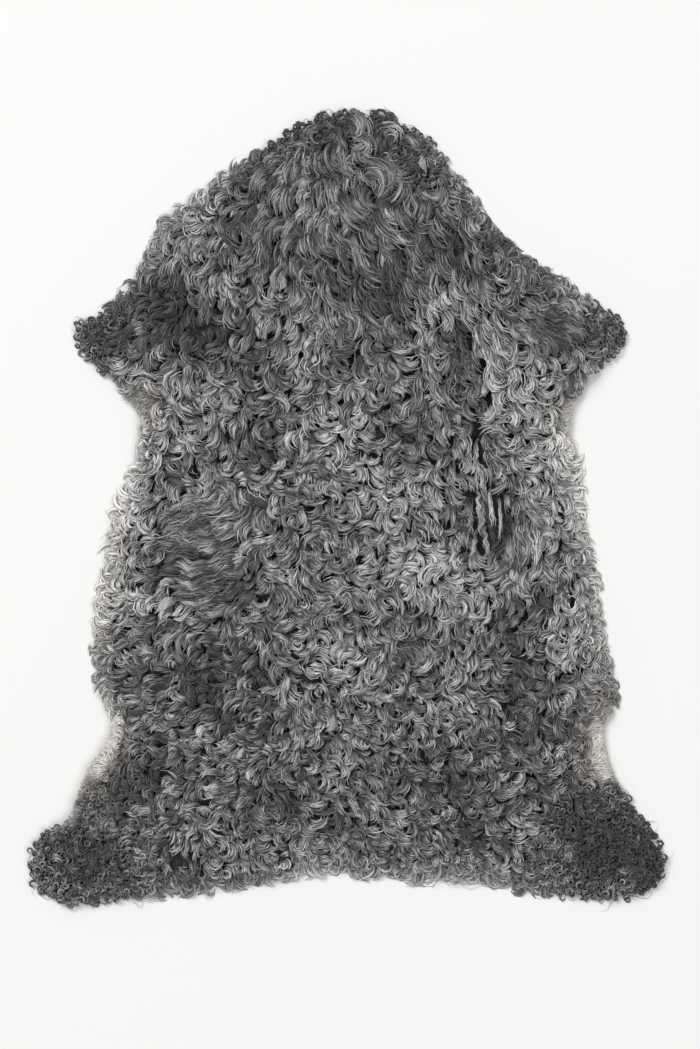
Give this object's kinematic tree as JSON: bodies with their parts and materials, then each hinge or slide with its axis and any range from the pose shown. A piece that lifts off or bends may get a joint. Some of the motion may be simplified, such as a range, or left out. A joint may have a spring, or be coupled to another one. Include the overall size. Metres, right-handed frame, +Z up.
{
  "type": "sheepskin rug",
  "caption": "Flat sheepskin rug in curly grey wool, cut to the animal's own outline with neck, fore and hind legs, on a thin tanned pelt.",
  "frame": {"origin": "on the surface that the rug lies on, under the middle of its length and width", "axes": "+Z up, out of the wool; +Y along the back to the neck end; +X to the right, seen from above"},
  "size_m": [0.7971, 1.0031, 0.0315],
  "materials": {
    "suede": "napped suede flesh side, matt, dusty beige",
    "wool": "curly wool in lustrous ringlets, mid grey with near-black roots and paler flanks"
  },
  "bodies": {
    "root": {"pelt": "suede", "fleece": "wool"}
  },
  "joints": []
}
